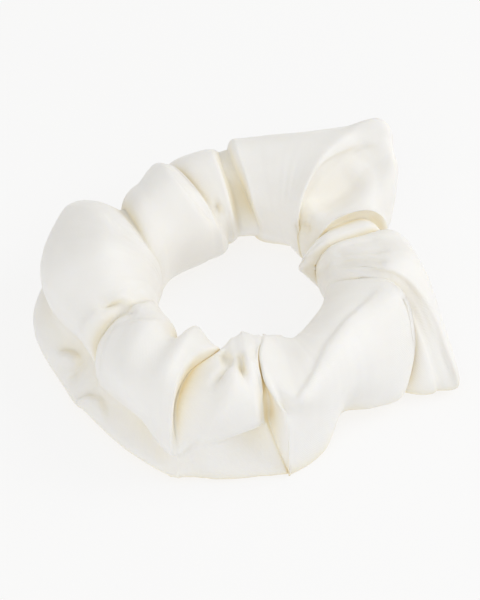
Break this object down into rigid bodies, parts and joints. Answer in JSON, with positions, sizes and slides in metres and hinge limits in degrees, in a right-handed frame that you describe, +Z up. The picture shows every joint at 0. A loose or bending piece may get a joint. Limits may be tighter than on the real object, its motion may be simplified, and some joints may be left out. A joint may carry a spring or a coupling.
{
  "type": "scrunchie",
  "caption": "Soft gathered satin hair tie: a loose ruffled sleeve closed on itself over a loop of flat elastic, lying flat.",
  "frame": {"origin": "on the surface the scrunchie lies on, under the middle of its outline, which is also the middle of the elastic loop", "axes": "+Z up along the axis of the loop, +Y to the back, so the closing seam is at the right, near +X"},
  "size_m": [0.1142, 0.1037, 0.0378],
  "materials": {
    "satin": "soft satin weave, ivory white",
    "sewing_thread": "spun polyester thread",
    "knitted_elastic": "knitted flat elastic, matt"
  },
  "bodies": {
    "cover": {"sleeve": "satin", "long_seam_needle_thread": "sewing_thread", "long_seam_bobbin_thread": "sewing_thread", "closing_seam_needle_thread": "sewing_thread", "closing_seam_bobbin_thread": "sewing_thread"},
    "elastic": {"elastic_band": "knitted_elastic", "elastic_join_needle_thread": "sewing_thread", "elastic_join_bobbin_thread": "sewing_thread"}
  },
  "joints": [
    {"name": "elastic_turn", "type": "hinge", "parent": "cover", "child": "elastic", "pos_m": [0, 0, 0.0145], "axis": [0, 0, 1], "continuous": true}
  ]
}
